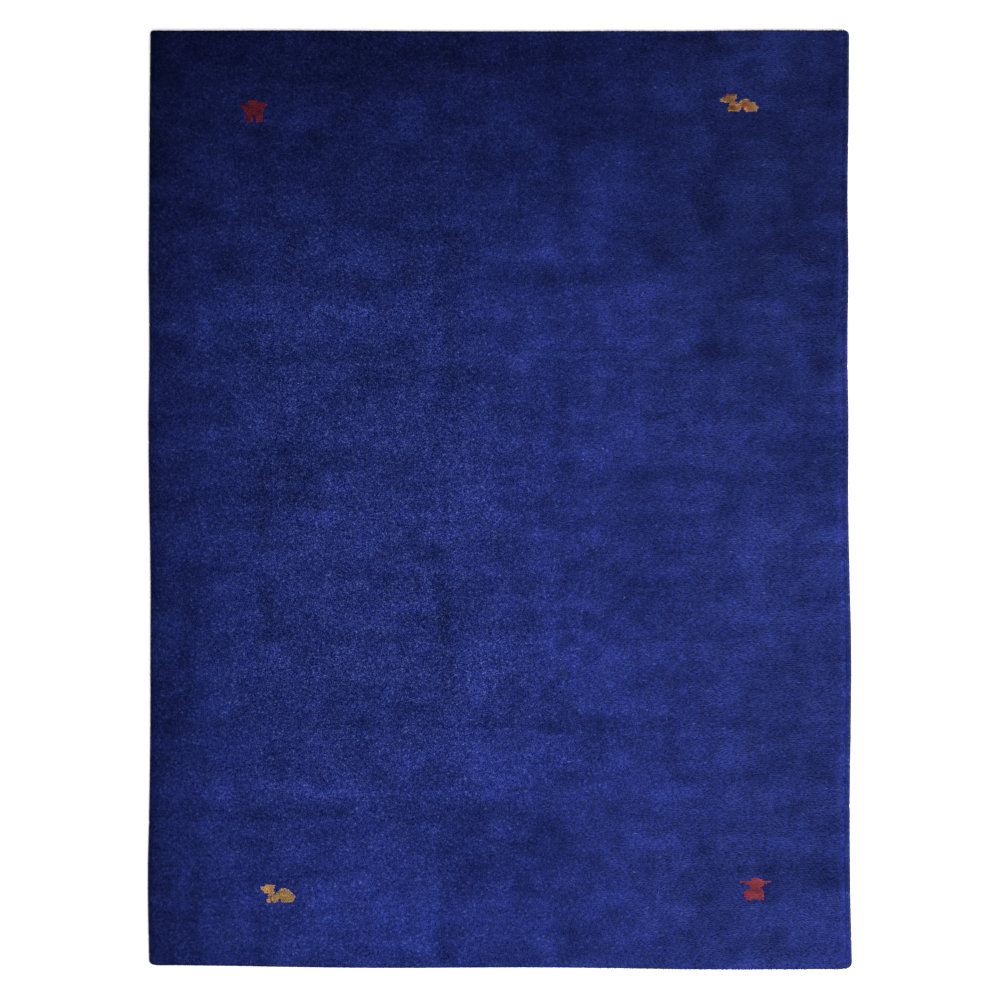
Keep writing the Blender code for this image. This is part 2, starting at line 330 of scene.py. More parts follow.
def dye_and_shade_doublings(x, y):
    """Uneven dyeing together with painted shade and sheen, in doublings of brightness, less than 0 where
    the wool is darker.
    """
    wide, tall = ROUGH_WIDTH, ROUGH_LENGTH
    across, along = 0.5 + x / wide, 0.5 + y / tall
    # The far end darkens along the rug, down to a depth that is less on the right: uneven dye together
    # with painted shade
    most = 1.6 - 1.05 * ease(across, 0.45, 0.85)
    far_end_dye_and_shade = soft_least(4.7 * np.maximum(along - 0.695, 0.0), most, 0.12)
    # The left part, and most of all its outermost edge and cord, is darker: uneven dye together with
    # painted shade
    left = 0.3 * np.maximum(1 - 3.2 * across, 0.0)
    edge = 0.95 * np.exp(-24.0 * across)
    fold_shade = fold_shade_marks(across, y, wide, FOLD_SHADE_ALONG, 500) + fold_shade_marks(along, x, tall, FOLD_SHADE_ACROSS, 600)
    blotches = sum(depth * soft_noise(x, y, size, seed) for depth, size, seed in BLOTCHES)
    bands = sum(depth * soft_noise(x, y, size, seed) for depth, size, seed in BANDS)
    return (0.05 + blotches + bands - far_end_dye_and_shade - left - edge - fold_shade
            - 1.2 * cloud_dye_and_sheen(across, along, wide, tall))


# Pile


def combing(x, y):
    """From 0, standing pile, at the left to 1, pile combed sideways, at the right."""
    return ease(x / FIELD_HIGH.x + 0.1 * soft_noise(x, y, 0.22, 21), -0.25, 0.85)


def half_combed_painted_light(x, y):
    """Doublings of painted light, most on half-combed pile and none on pile that stands or is fully
    combed.
    """
    combed = combing(x, y)
    return HALF_COMBED_PAINTED_LIGHT * 4 * combed * (1 - combed)


def grain_strength(x, y):
    """How lively the grain is: most left of the middle, calm at the ends and where it is combed."""
    ends = ease(abs(y + 0.05) / FIELD_HIGH.y, 0.3, 0.9)
    left_side = ease(-x / FIELD_HIGH.x, 0.6, 0.95)
    return (1 - 0.56 * ends) * (1 - 0.8 * combing(x, y)) * (1 - 0.48 * left_side)


def nap(x, y, rng):
    """How far the tips lean sideways for each metre of height, and how combed they are."""
    right = combing(x, y)
    turn = math.pi + 0.4 * soft_noise(x, y, 0.11, 22) + 0.25 * soft_noise(x, y, 0.035, 23)
    strength = 1.45 + 0.3 * soft_noise(x, y, 0.07, 24)
    lean_x = right * strength * np.cos(turn)
    lean_y = right * strength * np.sin(turn) - 0.3 * (1 - right)
    loose = 0.34 * (1 - 0.6 * right)
    cling = 0.36 * (1 - 0.3 * right)
    lean_x = lean_x + cling * soft_noise(x, y, CLUSTER, 25) + rng.normal(0, loose, x.shape)
    lean_y = lean_y + cling * soft_noise(x, y, CLUSTER, 26) + rng.normal(0, loose, x.shape)
    return lean_x, lean_y, right


def cluster_value(x, y, combed, seed):
    """Noise that clings in round tufts where the pile stands, and in streaks where it is combed."""
    round_tufts = soft_noise(x, y, CLUSTER, seed)
    streaks = soft_noise(x, y, (0.026, 0.0065), seed + 1)
    return (1 - combed) * round_tufts + combed * streaks


def rim_height(inset):
    """Height of the pile's rounded rim, this far inside the outline."""
    part = np.clip(1 - inset / PILE_RIM_RADIUS, 0.0, 1.0)
    return PILE_TOP - PILE_RIM_RADIUS * (1 - np.sqrt(1 - part ** 2))


def splay_share(rim, out_x):
    """How far tufts are splayed outwards, 0 away from the edges and 1 at the very edge."""
    reach = np.where(out_x > 0.7, SPLAY_REACH_RIGHT, SPLAY_REACH)
    return np.clip(1 - rim / reach, 0.0, 1.0)


def cord_width(out_x):
    """The width of the side cord that tufts with this outward direction hang over."""
    return np.where(out_x < 0, CORD_WIDTHS[-1], CORD_WIDTHS[1])


def lay_tips(spots, lean_x, lean_y, combed, splay, rng):
    """The height of each tuft's foot, and its tip's x, y and height, kept under the rounded rim."""
    x, y, rim, out_x, out_y = spots
    beside_cord = out_x ** 2
    cluster = cluster_value(x, y, combed, 31)
    foot = ground_height(x, y, rim) - TUFT_DEPTH
    tip = SHEAR_HEIGHT + grain_strength(x, y) * (0.0006 * cluster + rng.normal(0, 0.0005, x.shape))
    tip = tip - COMBED_SINK * combed
    tip_x = x + (tip - foot) * lean_x
    tip_y = y + (tip - foot) * lean_y
    inset = rim - ((tip_x - x) * out_x + (tip_y - y) * out_y)
    least_inset = END_SETBACK * (1 - beside_cord) - CORD_COVER * cord_width(out_x) * beside_cord
    ragged = (0.0005 + 0.0011 * beside_cord) * soft_noise(x, y, 0.025, 33)
    ragged = ragged + rng.normal(0, 0.0003, x.shape) * (1 + beside_cord)
    overhang = np.minimum(inset - least_inset + ragged, 0.0)
    tip_x, tip_y = tip_x + overhang * out_x, tip_y + overhang * out_y
    rim_top = rim_height(inset - overhang) + SIDE_RAISE * beside_cord - 0.0004
    tip = np.where(splay > 0, np.minimum(tip, rim_top), tip)
    return foot, tip_x, tip_y, np.maximum(tip, foot + LEAST_TUFT)


def tuft_shades(x, y, combed, drawn_out, hanging_painted_shade, rng):
    """Each tuft's tone between the deep and the bright of its wool, with a few pale ones."""
    shade = 0.03 * cluster_value(x, y, combed, 41) + rng.normal(0, 0.09, x.shape) * (1 - 0.72 * combed)
    # Painted light and shade: combed and drawn-out tufts are made lighter, those that hang over a cord
    # darker
    shade = 0.38 + 0.13 * combed + 0.015 * drawn_out - 0.05 * hanging_painted_shade + grain_strength(x, y) * shade
    shade = shade + 0.04 * soft_noise(x, y, 0.028, 43)
    pale = rng.random(x.shape) < 0.0028 * combed
    return np.where(pale, PALE_TUFT, np.clip(shade, 0.02, 0.98))


def grow_tufts(spots, width, rng, lean_share=1.0, stroke=1.0):
    """Four corner points of each tuft, two at its tip and two at its foot, and its shade.

    Lean share is how much of the pile's lean the tufts take, and stroke how far the combed
    ones are drawn out along the pile, both 0 to 1.
    """
    x, y, rim, out_x, out_y = spots
    lean_x, lean_y, combed = (part * lean_share for part in nap(x, y, rng))
    splay, beside_cord = splay_share(rim, out_x), out_x ** 2
    outward_lean = SPLAY_LEAN + CORD_SPLAY_LEAN * beside_cord
    lean_x = lean_x * (1 - splay) + out_x * outward_lean * splay
    lean_y = lean_y * (1 - splay) + out_y * outward_lean * splay
    foot, tip_x, tip_y, tip = lay_tips(spots, lean_x, lean_y, combed, splay, rng)

    turn = rng.uniform(0, math.pi, x.shape)
    drawn_out = stroke * combed * ease(rim, 0.006, 0.014)
    along_lean = np.arctan2(lean_y, lean_x) + rng.normal(0, 0.3, x.shape) * (1 - 0.4 * drawn_out)
    turn = np.where(rng.random(x.shape) < 0.15 + 0.8 * combed, along_lean, turn)
    length = 0.84 + 0.88 * combed + COMBED_STROKE * drawn_out
    reach = width / 2 * rng.uniform(0.85, 1.25, x.shape) * length
    ridge_x, ridge_y = reach * np.cos(turn), reach * np.sin(turn)
    drop = rng.uniform(0.0003, 0.0014, x.shape) * (1 + 0.8 * combed - 1.1 * drawn_out)
    base = width / 2 * rng.uniform(0.9, 1.2, x.shape) * (1 - 0.1 * combed)
    base_x, base_y = -base * np.sin(turn), base * np.cos(turn)
    points = corner_points((tip_x + ridge_x, tip_y + ridge_y, tip),
                           (tip_x - ridge_x, tip_y - ridge_y, tip - drop),
                           (x + base_x, y + base_y, foot), (x - base_x, y - base_y, foot))
    return points, tuft_shades(x, y, combed, drawn_out, splay * beside_cord, rng)


def give_pile_values(piece, x, y):
    """How combed and how lively the pile is at each point, and its uneven dyeing together with painted
    shade and light.
    """
    give_values(piece, "combed", combing(x, y))
    give_values(piece, "lively", grain_strength(x, y))
    give_values(piece, "dye", dye_and_shade_doublings(x, y) + half_combed_painted_light(x, y))


def tuft_piece(name, points, shade, materials, indices=None):
    """One joined mesh of closed four-cornered tufts, each with its own cell of the map."""
    count = len(points)
    first = np.arange(count)[:, None] * 4
    corners = np.array(((0, 2, 1), (0, 1, 3), (0, 3, 2), (1, 2, 3)))
    faces = (first[:, :, None] + corners[None]).reshape(-1, 3)
    turned = np.einsum("ij,ij->i", np.cross(points[:, 2] - points[:, 0], points[:, 1] - points[:, 0]),
                       points[:, 3] - points[:, 0]) > 0
    faces[np.repeat(turned, 4)] = faces[np.repeat(turned, 4)][:, ::-1]
    face_indices = None if indices is None else np.repeat(indices, 4)
    piece = mesh_piece(name, points.reshape(-1, 3), faces, materials, face_indices)
    give_values(piece, "yarn_shade", np.repeat(shade, 4))
    # Painted shade mask: 1 at a tuft's tips and 0 at its foot, which the wool paints darker
    give_values(piece, "painted_shade_mask", np.tile((1.0, 1.0, 0.0, 0.0), count))
    give_pile_values(piece, points[:, :, 0].ravel(), points[:, :, 1].ravel())

    across = math.ceil(math.sqrt(count))
    cell = np.stack((np.arange(count) % across, np.arange(count) // across), 1) / across
    square = ((0, 0), (1, 0), (1, 1), (0, 1), (0, 0))
    quarter = np.array([(start, end, (0.5, 0.5)) for start, end in zip(square, square[1:])])
    give_map(piece, cell[:, None, None, :] + quarter[None] / across)
    return piece


class Motif:
    """A small motif, charted knot by knot, and where its middle lies."""

    def __init__(self, name, middle, knot, chart):
        self.name, self.middle, self.knot = name, middle, knot
        self.rows = chart.split()
        self.wide, self.tall = len(self.rows[0]), len(self.rows)

    def corner(self):
        """The upper left corner of the chart on the rug."""
        return (self.middle[0] - self.wide * self.knot / 2,
                self.middle[1] + self.tall * self.knot / 2)

    def yarn_at(self, x, y):
        """The chart's letter at each place, a dot for the field's blue."""
        left, top = self.corner()
        column = np.floor((x - left) / self.knot).astype(int)
        row = np.floor((top - y) / self.knot).astype(int)
        inside = (column >= 0) & (column < self.wide) & (row >= 0) & (row < self.tall)
        letters = np.array([list(line) for line in self.rows])
        found = np.full(x.shape, ".")
        found[inside] = letters[row[inside], column[inside]]
        return found


# In the charts O is orange, T tan, P pale, B brown gold, R rust, D dark red, M madder red
MOTIFS = (
    Motif("camel_low_left", (-0.5777, -1.0252), 0.0041, """
    ...POOOOP.............
    OOOOOOOOP.............
    POOOOOOO.....PTT......
    .OOOOOOP....TTTTTP....
    ..POOPOOP..TTOTTTTT...
    .....OOP..TTTOOTTTTP..
    .....PO.TTTTOOTTTTTTT.
    .....TRTTTTTTTTTTTTTTP
    .....TRTTTTOTTTTOTTTT.
    ....PTRTTTT..TTTOTTTT.
    ....PP..TTT..TTTTTTT.."""),
    Motif("camel_high_right", (0.6262, 1.0343), 0.0041, """
    ....RRRRRB..............
    ...RBBBBBP..............
    .BBBBBBBBP..............
    PBBBBBBBB......PPP......
    PPPPBBBBB....PBBBBB.....
    ......BBBB..BBBRRBBBPP..
    ......BBBBPBBRRRRBBBBB..
    ......BRRRBBBRRRRRBBBBB.
    .....BRRRRBBB..BBRRRBBBP
    .....BRRRBBBP..BBBRRBBB.
    .....PBBBBPB....PBBBBBP."""),
    Motif("figure_high_left", (-0.64, 1.0128), 0.0042, """
    ....DDDDDD......
    D...DDDDDDDDD...
    DD..DDDDDDDDDDDD
    DDD.DDDDDDDDDDD.
    .DDDDDDDDDDDDD..
    ..DDDDDDDDDDDD..
    ..DDDDDDDDDDD...
    ...DDDDDDDDDD...
    ...DDDDDDDDDD...
    ...DDDD..DDDD...
    ...DDDD..DDDD...
    ..DDDDD..DDDD...
    ...DDDD..DDDD..."""),
    Motif("figure_low_right", (0.669, -1.0145), 0.0041, """
    .........MMMMM..........
    .........MMMMMMM........
    ..MMMMMMMMMMMMMMMMMMMM..
    .....MMMMMMMMMMMMMM.....
    ........MMMMMMMMM.......
    .........MMMMMMM........
    .........MMMMMM.........
    .......MMMMMMMMM........
    ......MMMMMMMMMMM.......
    .....MMMMMMMMMMMM.......
    .....MMMMMMMMMMMM.......
    .....MMMMMMMMMMMM.......
    ......MMMMMMMMMMM.......
    ......MMM.....MMM......."""),
)

# A knot's tufts: share across the knot, width in knots, height over the field's
KNOT_PARTS = ((0.5, 1.6, -0.0019), (0.32, 1.25, -0.0006), (0.68, 1.25, -0.0006),
              (0.27, 0.8, 0.0006), (0.73, 0.8, 0.0006))


def motif_letters(x, y):
    """The letter of whichever motif covers each place."""
    found = np.full(x.shape, ".")
    for motif in MOTIFS:
        letters = motif.yarn_at(x, y)
        found = np.where(letters != ".", letters, found)
    return found


def near_motif(x, y, steps):
    """Whether a motif lies at any of these steps from each place."""
    near = np.zeros(x.shape, bool)
    for step_x, step_y in steps:
        near |= motif_letters(x + step_x, y + step_y) != "."
    return near


def build_field_pile(blue):
    """The blue tufts in four strips, left out under the motifs, trimmed lower round them and darkened
    there as painted shade.
    """
    rng = np.random.default_rng(7)
    columns = round((FIELD_HIGH.x - FIELD_LOW.x) / TUFT_PITCH / len(STRIPS)) * len(STRIPS)
    rows = round((FIELD_HIGH.y - FIELD_LOW.y) / TUFT_PITCH)
    column, row = (part.ravel() for part in np.meshgrid(np.arange(columns), np.arange(rows)))
    brick = 0.25 * np.where(row % 2, 1, -1) * (column > 0) * (column < columns - 1)
    across = (column + 0.5 + brick + rng.uniform(-TUFT_STRAY, TUFT_STRAY, column.shape)) / columns
    along = (row + 0.5 + rng.uniform(-TUFT_STRAY, TUFT_STRAY, row.shape)) / rows
    spots = FIELD.place(across, along)
    x, y = spots[:2]
    beside = near_motif(x, y, [(share * MOTIF_CLEARANCE, 0.0) for share in (-1.0, -0.5, 0.5, 1.0)])
    points, shade = grow_tufts(spots, TUFT_WIDTH, rng, stroke=np.where(beside, 0.0, 1.0))
    carved = near_motif(x, y, [(right * CARVE_REACH, up * CARVE_REACH)
                               for right, up in ((1, 0), (-1, 0), (0, 1), (0, -1))])
    points[carved, :2, 2] -= CARVE_DEPTH
    # Painted shade: the cut blue round a motif is darkened as well as lowered
    shade[carved] *= CARVE_PAINTED_SHADE
    kept = motif_letters(x, y) == "."
    pieces = []
    for number, name in enumerate(STRIPS):
        chosen = kept & (column * len(STRIPS) // columns == number)
        pieces.append(tuft_piece(name, points[chosen], shade[chosen], [blue]))
    return pieces


def rim_places(inset, rng, edges):
    """Shares across and along of a row of places just inside these edges of the field."""
    places = []
    for edge in edges:
        upright = edge in SIDES
        length, depth = (ROUGH_LENGTH, ROUGH_WIDTH) if upright else (ROUGH_WIDTH, ROUGH_LENGTH)
        steps = round(length / RIM_PITCH)
        run = (np.arange(steps) + 0.5 + rng.uniform(-0.3, 0.3, steps)) / steps
        off = inset / depth * rng.uniform(0.6, 1.4, steps)
        fixed = off if edge < 2 else 1 - off
        places.append((fixed, run) if upright else (run, fixed))
    return (np.concatenate(part) for part in zip(*places))


def drooping_row(foot, low_tip, inset, rng):
    """Short tufts over both ends: x, y, outward direction, foot height, tip height and reach."""
    x, y, rim, out_x, out_y = FIELD.place(*rim_places(inset, rng, ENDS))
    tip = low_tip + rng.uniform(0.0, 0.0016, x.shape)
    reach = rim + rng.uniform(0.0001, 0.0007, x.shape)
    return x, y, out_x, out_y, np.full(x.shape, foot), tip, reach


def hanging_row(inset, rng):
    """Tufts that hang over both side cords, with the values that a drooping row has."""
    x, y, _, out_x, out_y = FIELD.place(*rim_places(inset, rng, SIDES))
    beside = abs(out_x) > 0.85
    x, y, out_x, out_y = x[beside], y[beside], out_x[beside], out_y[beside]
    over_cord = cord_width(out_x) * out_x ** 2
    tip = CORD_HEIGHT + rng.uniform(0.0002, 0.0014, x.shape)
    reach = inset + CORD_COVER * over_cord * rng.uniform(0.55, 1.15, x.shape)
    return x, y, out_x, out_y, np.full(x.shape, HANGING_FOOT), tip, reach


def build_rim_pile(blue):
    """Short tufts that droop over the field's ends, and longer ones that hang over the side cords."""
    rng = np.random.default_rng(8)
    rows = [drooping_row(*row, rng) for row in DROOPING_ROWS]
    rows += [hanging_row(inset, rng) for inset in HANGING_INSETS]
    x, y, out_x, out_y, foot, tip, reach = (np.concatenate(part) for part in zip(*rows))
    width = RIM_TUFT_WIDTH * rng.uniform(0.8, 1.3, x.shape)
    tip_x, tip_y = x + out_x * reach, y + out_y * reach
    foot_x, foot_y = x - out_x * 0.001, y - out_y * 0.001
    second_tip = np.maximum(tip - 0.0006, 0.0002)
    points = corner_points((tip_x - out_y * width, tip_y + out_x * width, tip),
                           (tip_x + out_y * width, tip_y - out_x * width, second_tip),
                           (foot_x, foot_y, foot - 0.0012), (foot_x, foot_y, foot + 0.0026))
    shade = np.clip(0.46 + 0.1 * soft_noise(x, y, CLUSTER, 44) + rng.normal(0, 0.07, x.shape), 0, 1)
    return tuft_piece("pile_rim", points, shade, [blue])


def build_motif(motif, yarns):
    """A motif's knots: each has low wide tufts that cover the blue, and finer ones on top."""
    rng = np.random.default_rng(len(motif.rows) * 100 + motif.wide)
    left, top = motif.corner()
    places = []
    for row, line in enumerate(motif.rows):
        for column, letter in enumerate(line):
            if letter != ".":
                places += [(left + (column + part) * motif.knot, top - (row + 0.5) * motif.knot,
                            letter, width, lift) for part, width, lift in KNOT_PARTS]
    x, y, width, lift = (np.array([place[axis] for place in places]) for axis in (0, 1, 3, 4))
    x = x + rng.normal(0, 0.0004, x.shape)
    y = y + rng.normal(0, 0.0006, y.shape)
    level = np.zeros(x.shape)
    # A metre inside the rim, with no outward direction
    spots = (x, y, np.ones(x.shape), level, level)
    points, shade = grow_tufts(spots, motif.knot * width, rng, lean_share=0.5, stroke=0.0)
    shade = shade - 0.06 + 0.22 * soft_noise(x, y, (0.016, 0.01), 45)
    points[:, :2, 2] += lift[:, None]
    letters = sorted({place[2] for place in places})
    indices = np.array([letters.index(place[2]) for place in places])
    return tuft_piece(motif.name, points, shade, [yarns[letter] for letter in letters], indices)


# Ground


def grid_places(length):
    """Shares from 0 to 1 with the rim's steps at both ends and even cells between."""
    rim = np.array(RIM_PLACES)
    inner = round((length - 2 * rim[-1]) / GROUND_CELL)
    middle = np.linspace(rim[-1], length - rim[-1], inner + 1)[1:-1]
    return np.concatenate((rim, middle, (length - rim)[::-1])) / length


def give_ground_map(ground, rows, columns, quads, wall_count):
    """The ground's map: its top on the left, its back on the right, its wall in a strip below."""
    column_share = np.tile(np.arange(columns) / (columns - 1), rows)
    row_share = np.repeat(np.arange(rows) / (rows - 1), columns)
    spots = np.stack((0.005 + 0.485 * column_share, 0.02 + 0.975 * row_share), -1)
    under_spots = spots + (0.5, 0.0)
    run = np.arange(wall_count + 1) / wall_count
    low, high = np.full(wall_count, 0.001), np.full(wall_count, 0.014)
    wall_spots = corner_points((run[:-1], low), (run[1:], low), (run[1:], high), (run[:-1], high))
    give_map(ground, np.concatenate((spots[quads], under_spots[quads[:, ::-1]], wall_spots)))


def build_ground(pile_feet, back):
    """The closed cloth: crowded pile feet on top, the knotted back below."""
    across, along = np.meshgrid(grid_places(ROUGH_WIDTH), grid_places(ROUGH_LENGTH))
    rows, columns = across.shape
    x, y, rim, _, _ = FIELD.place(across, along)
    lift = BACK_LIFT * (1 + 0.6 * soft_noise(x, y, 0.05, 13)) * ease(-rim, -BACK_LIFT_REACH, 0.0)
    points = [np.stack((x, y, height), -1).reshape(-1, 3) for height in (ground_height(x, y, rim), lift)]
    index = np.arange(rows * columns).reshape(rows, columns)
    quads = np.stack((index[:-1, :-1], index[:-1, 1:], index[1:, 1:], index[1:, :-1]), -1).reshape(-1, 4)
    ring = np.concatenate((index[0, :-1], index[:-1, -1], index[-1, :0:-1], index[:0:-1, 0]))
    following = np.roll(ring, -1)
    offset = rows * columns
    wall = np.stack((ring + offset, following + offset, following, ring), -1)
    faces = np.concatenate((quads, quads[:, ::-1] + offset, wall))
    kinds = np.concatenate((np.zeros(len(quads)), np.ones(len(quads)), np.zeros(len(wall))))
    ground = mesh_piece("pile_ground", np.concatenate(points), faces, [pile_feet, back], kinds)
    give_pile_values(ground, np.tile(x.ravel(), 2), np.tile(y.ravel(), 2))
    give_ground_map(ground, rows, columns, quads, len(ring))
    return ground


# Side cords


def unit(vectors):
    """Each row of an array made one long."""
    return vectors / np.linalg.norm(vectors, axis=1)[:, None]


def cord_line(side):
    """The field's outline along one side as points, outward directions and thickness shares."""
    ring = FIELD.outline
    ahead, behind = np.roll(ring, -1, 0), np.roll(ring, 1, 0)
    tangent = unit(unit(ahead - ring) + unit(ring - behind))
    outward = np.stack((tangent[:, 1], -tangent[:, 0]), 1)
    turn = np.arccos(np.clip(outward[:, 0] * side, -1, 1))
    chosen = turn < math.radians(CORD_TURN)
    order = np.argsort(ring[chosen][:, 1], kind="stable")
    return ring[chosen][order], outward[chosen][order], np.cos(turn[chosen][order]) ** 2


def cord_section(width):
    """Section points as distances outwards and heights, round from the inner foot."""
    section = [(0.14, 0.0004), (0.02, 0.0018)]
    for angle in np.linspace(math.pi, 0.0, CORD_ARC_POINTS):
        height = CORD_WALL + (CORD_HEIGHT - CORD_WALL) * math.sin(angle)
        section.append((0.5 + 0.5 * math.cos(angle), height))
    section += [(0.98, 0.0018), (0.86, 0.0004)]
    return np.array(section) * (width, 1.0)


def wrap_places(length, rng):
    """Where the rings lie along a cord, and which turn of the yarn each belongs to."""
    wraps = round(length / WRAP_PITCH)
    edges = np.cumsum(np.concatenate(((0.0,), rng.uniform(0.75, 1.25, wraps))))
    edges = edges / edges[-1] * length
    ring = np.arange(wraps * RINGS_PER_WRAP + 1)
    places = np.interp(ring / RINGS_PER_WRAP, np.arange(wraps + 1), edges)
    return places, np.minimum(ring // RINGS_PER_WRAP, wraps - 1)


def wrap_swell(places, wrap, in_groove, rng):
    """How thick each ring is: thin between turns of the yarn, a little uneven, with worn notches."""
    bulk = rng.normal(1.0, 0.025, wrap[-1] + 1)[wrap]
    notches = np.zeros(len(places))
    for notch in rng.uniform(0.05, places[-1] - 0.05, CORD_NOTCHES):
        notches += rng.uniform(0.1, 0.28) * np.exp(-((places - notch) / 0.003) ** 2)
    swell = np.where(in_groove, 0.95, 1.05) * bulk * (1 - notches)
    return swell * (1 + 0.03 * soft_noise(places, places * 0, 0.04, 62))


def cord_faces(rings, around, side):
    """Quads round a cord, and triangles over both its ends to the two points after the rings."""
    index = np.arange(rings * around).reshape(rings, around)
    beside = np.roll(index, -1, 1)
    quads = np.stack((index[:-1], beside[:-1], beside[1:], index[1:]), -1).reshape(-1, 4)
    first, last = index[0][::-1], index[-1]
    if side < 0:
        quads = quads[:, ::-1]
        first, last = index[0], index[-1][::-1]
    faces = quads.tolist()
    for cap, centre in ((first, rings * around), (last, rings * around + 1)):
        faces += np.stack((cap, np.roll(cap, -1), np.full(around, centre)), 1).tolist()
    return faces


def give_cord_map(cord, rings, around, side):
    """The cord's map: its length folded into rows, and its ends' triangles in a strip above."""
    per_row = math.ceil((rings - 1) / CORD_MAP_ROWS)
    ring = np.repeat(np.arange(rings - 1), around)
    spot = np.tile(np.arange(around), rings - 1)
    row, step = ring // per_row, ring % per_row
    height = 0.97 / CORD_MAP_ROWS
    low, high = row * height, row * height + height * 0.94
    left, right = step / per_row, (step + 1) / per_row
    first = low + (high - low) * spot / around
    second = low + (high - low) * (spot + 1) / around
    corners = corner_points((left, first), (left, second), (right, second), (right, first))
    if side < 0:
        corners = corners[:, ::-1]
    starts = 0.02 + 0.9 * np.arange(around * 2) / (around * 2)
    caps = [((start, 0.975), (start + 0.03, 0.975), (start + 0.015, 0.998)) for start in starts]
    give_map(cord, np.concatenate((corners.reshape(-1, 2), np.array(caps).reshape(-1, 2))))


def build_cord(name, side, wool):
    """A side cord closely overcast with yarn: a ridge for every turn of it."""
    rng = np.random.default_rng(60 + side)
    line, outward, share = cord_line(side)
    run = np.concatenate(((0.0,), np.cumsum(np.linalg.norm(np.diff(line, axis=0), axis=1))))
    places, wrap = wrap_places(run[-1], rng)
    ring_x, ring_y = (np.interp(places, run, line[:, axis]) for axis in (0, 1))
    out_x, out_y = (np.interp(places, run, outward[:, axis]) for axis in (0, 1))
    size = np.interp(places, run, share)
    in_groove = np.arange(len(places)) % RINGS_PER_WRAP == 0
    swell = wrap_swell(places, wrap, in_groove, rng)

    section = cord_section(CORD_WIDTHS[side])
    middle = np.array((CORD_WIDTHS[side] / 2, CORD_WALL))
    shape = middle + (section - middle) * swell[:, None, None]
    shape = shape * size[:, None, None]
    shape[:, :, 0] += CORD_GAP
    shape[:, :, 1] = np.maximum(shape[:, :, 1], 0.0001)
    slant = WRAP_SLANT * np.sin(np.linspace(0, math.pi, len(section))) * size[:, None]
    x = ring_x[:, None] + shape[:, :, 0] * out_x[:, None] - slant * out_y[:, None] * side
    y = ring_y[:, None] + shape[:, :, 0] * out_y[:, None] + slant * out_x[:, None] * side
    rings = np.stack((x, y, shape[:, :, 1]), -1)
    count, around = rings.shape[:2]
    points = np.concatenate((rings.reshape(-1, 3), (rings[0].mean(0), rings[-1].mean(0))))
    cord = mesh_piece(name, points, cord_faces(count, around, side), [wool])

    shade = np.clip(rng.normal(0.5, 0.09, wrap[-1] + 1), 0.05, 0.95)[wrap]
    # The painted shade mask is low in the grooves between turns, which the wool paints darker
    for value, of_rings in (("yarn_shade", shade), ("painted_shade_mask", np.where(in_groove, 0.25, 1.0))):
        give_values(cord, value, np.concatenate((np.repeat(of_rings, around), (0.5, 0.5))))
    # Its dye value holds uneven dyeing together with painted shade
    give_values(cord, "dye", dye_and_shade_doublings(points[:, 0], points[:, 1]))
    give_cord_map(cord, count, around, side)
    return cord


# Materials


def dye(tone):
    """A linear colour from three screen values of 0 to 255."""
    parts = []
    for value in tone:
        share = value / 255
        parts.append(share / 12.92 if share <= 0.04045 else ((share + 0.055) / 1.055) ** 2.4)
    return (*parts, 1.0)


class Tree:
    """Short calls that add nodes to one tree and link them."""

    def __init__(self, tree):
        self.tree = tree

    def feed(self, socket, value):
        if isinstance(value, bpy.types.NodeSocket):
            self.tree.links.new(value, socket)
        else:
            socket.default_value = value

    def node(self, kind, inputs=(), **settings):
        """A node with its settings; inputs are pairs of socket name or number and value."""
        node = self.tree.nodes.new(kind)
        for name, value in settings.items():
            setattr(node, name, value)
        for name, value in inputs:
            self.feed(node.inputs[name], value)
        return node

    def math(self, operation, *values):
        return self.node("ShaderNodeMath", enumerate(values), operation=operation).outputs[0]

    def add(self, first, second):
        return self.math("ADD", first, second)

    def times(self, first, second):
        return self.math("MULTIPLY", first, second)

    def attribute(self, name):
        """The number that the points of a piece have under this name."""
        return self.node("ShaderNodeAttribute", attribute_name=name).outputs["Fac"]

    def scaled(self, vector, factor):
        return self.node("ShaderNodeVectorMath", ((0, vector), ("Scale", factor)),
                         operation="SCALE").outputs[0]

    def between(self, share, first, second):
        """A share of the way from one number to another."""
        return self.node("ShaderNodeMix", ((0, share), (2, first), (3, second))).outputs[0]

    def tone(self, share, first, second, clamp=True):
        """A share of the way from one colour to another, or past it if clamp is off."""
        return self.node("ShaderNodeMix", ((0, share), (6, first), (7, second)),
                         data_type="RGBA", clamp_factor=clamp).outputs[2]

    def marks(self, place, scale, stretch, detail, strength):
        """Noise to both sides of 0; scale is bumps per metre, stretch draws it out along an axis."""
        drawn = self.node("ShaderNodeVectorMath", ((0, place), (1, tuple(scale / s for s in stretch))),
                          operation="MULTIPLY").outputs[0]
        noise = self.node("ShaderNodeTexNoise", (("Vector", drawn), ("Scale", 1.0), ("Detail", detail)))
        return self.math("MULTIPLY_ADD", noise.outputs["Fac"], 4.0 * strength, -2.0 * strength)

    def ramp(self, value, low, high, start=0.0, end=1.0):
        """A smooth rise from start to end as value goes from low to high."""
        return self.node("ShaderNodeMapRange", enumerate((value, low, high, start, end)),
                         interpolation_type="SMOOTHSTEP").outputs[0]


